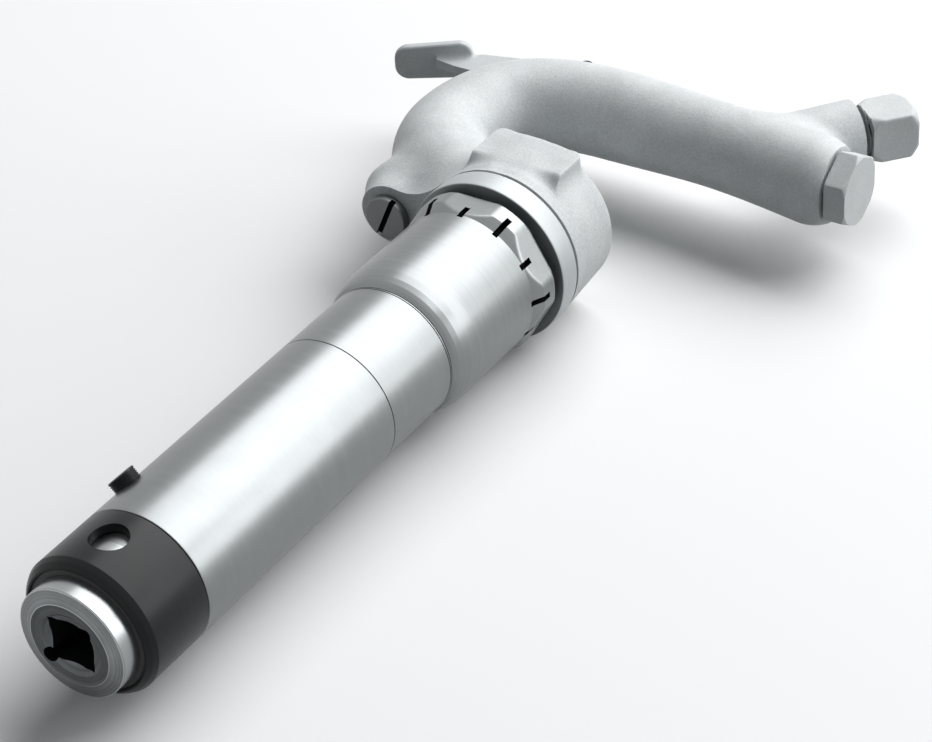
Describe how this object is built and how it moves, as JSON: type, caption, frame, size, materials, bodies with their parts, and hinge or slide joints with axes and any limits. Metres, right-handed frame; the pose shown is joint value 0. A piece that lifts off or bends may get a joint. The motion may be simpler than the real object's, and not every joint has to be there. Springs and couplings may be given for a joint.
{
  "type": "chisel scaler",
  "caption": "Pneumatic chisel scaler: steel barrel with a square chisel socket, gooseneck grip handle, thumb throttle lever and threaded air inlet.",
  "frame": {"origin": "centre of the chisel socket mouth, in the plane of the outer edge of the nozzle face", "axes": "+Y runs back along the barrel to the handle, +X along the grip towards the throttle cap, +Z is square to the plane of the handle"},
  "size_m": [0.1708, 0.3275, 0.0516],
  "materials": {
    "bushing_steel": "turned steel face with fine rings, brighter ground side",
    "black_steel": "black oxide, satin",
    "barrel_steel": "bright turned steel, brushed round the axis",
    "hardened_steel": "ground steel",
    "cast_handle": "matte blasted light grey casting",
    "cast_lever": "matte blasted casting",
    "cast_steel": "matte blasted steel, light grey",
    "screw_steel": "dull steel screw",
    "bronze": "machined bronze",
    "gasket_steel": "soft steel sealing ring, dull grey",
    "seal_rubber": "black rubber"
  },
  "bodies": {
    "frame": {"nozzle_bushing": "bushing_steel", "wiper_ring": "seal_rubber", "retainer_sleeve": "black_steel", "lock_plug": "black_steel", "barrel": "barrel_steel", "bumper_ring": "seal_rubber", "valve_box": "bronze", "valve_cap": "hardened_steel", "dowel_pin": "hardened_steel", "head_gasket": "seal_rubber", "handle": "cast_handle", "passage_plug": "screw_steel", "plug_gasket": "gasket_steel", "lever_pin": "hardened_steel", "throttle_seat": "bronze", "seat_ring": "seal_rubber", "throttle_spring": "hardened_steel", "throttle_cap": "cast_steel", "cap_gasket": "gasket_steel", "inlet_bushing": "cast_steel", "inlet_strainer": "bronze"},
    "lever": {"throttle_lever": "cast_lever"},
    "valve": {"throttle_valve": "bronze", "valve_disc": "seal_rubber"},
    "hammer_piston": {"piston": "hardened_steel"},
    "air_valve": {"spool_valve": "hardened_steel"}
  },
  "joints": [
    {"name": "throttle_lever_turn", "type": "hinge", "parent": "frame", "child": "lever", "pos_m": [-0.0244, 0.2935, 0], "axis": [0, 0, 1], "range_deg": [0, 11], "stiffness_Nm_per_rad": 0.2, "springref_deg": -14.9},
    {"name": "throttle_valve_slide", "type": "slide", "parent": "frame", "child": "valve", "axis": [1, 0, 0], "range_m": [0, 0.003], "deforming": ["throttle_spring"]},
    {"name": "piston_slide", "type": "slide", "parent": "frame", "child": "hammer_piston", "axis": [0, 1, 0], "range_m": [-0.006, 0.048]},
    {"name": "air_valve_slide", "type": "slide", "parent": "frame", "child": "air_valve", "axis": [0, 1, 0], "range_m": [0, 0.003]}
  ],
  "couplings": [
    {"joint": "throttle_valve_slide", "follows": "throttle_lever_turn", "m_per_rad": 0.0151}
  ]
}
